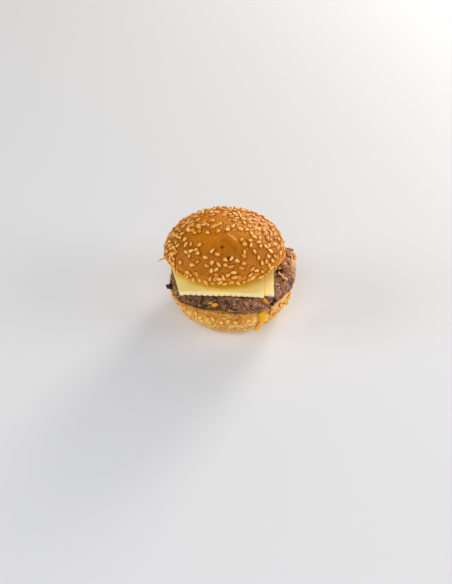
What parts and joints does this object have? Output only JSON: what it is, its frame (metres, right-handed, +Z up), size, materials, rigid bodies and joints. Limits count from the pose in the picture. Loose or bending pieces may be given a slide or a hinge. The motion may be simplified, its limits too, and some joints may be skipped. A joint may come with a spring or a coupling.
{
  "type": "slider",
  "caption": "Mini burger: a seeded bun whose top sits tilted on sliced cheese and a rough-edged beef patty, with a strip of onion hanging out at the front.",
  "frame": {"origin": "centre of the flat base of the bun's lower half, on the surface that it stands on", "axes": "+Z up; -Y towards the front, where the cheese shows; +X to the right of the front"},
  "size_m": [0.0734, 0.0677, 0.0557],
  "materials": {
    "golden_crust": "glossy baked crust",
    "pale_crust": "matt baked crust",
    "meat": "coarse browned mince",
    "cheese": "satin semi-hard cheese",
    "onion": "wet translucent fried onion"
  },
  "bodies": {
    "root": {"heel": "pale_crust", "patty": "meat", "cheese_lower": "cheese", "cheese_upper": "cheese", "crown": "golden_crust", "onion_strip": "onion", "onion_wisp": "onion"}
  },
  "joints": []
}
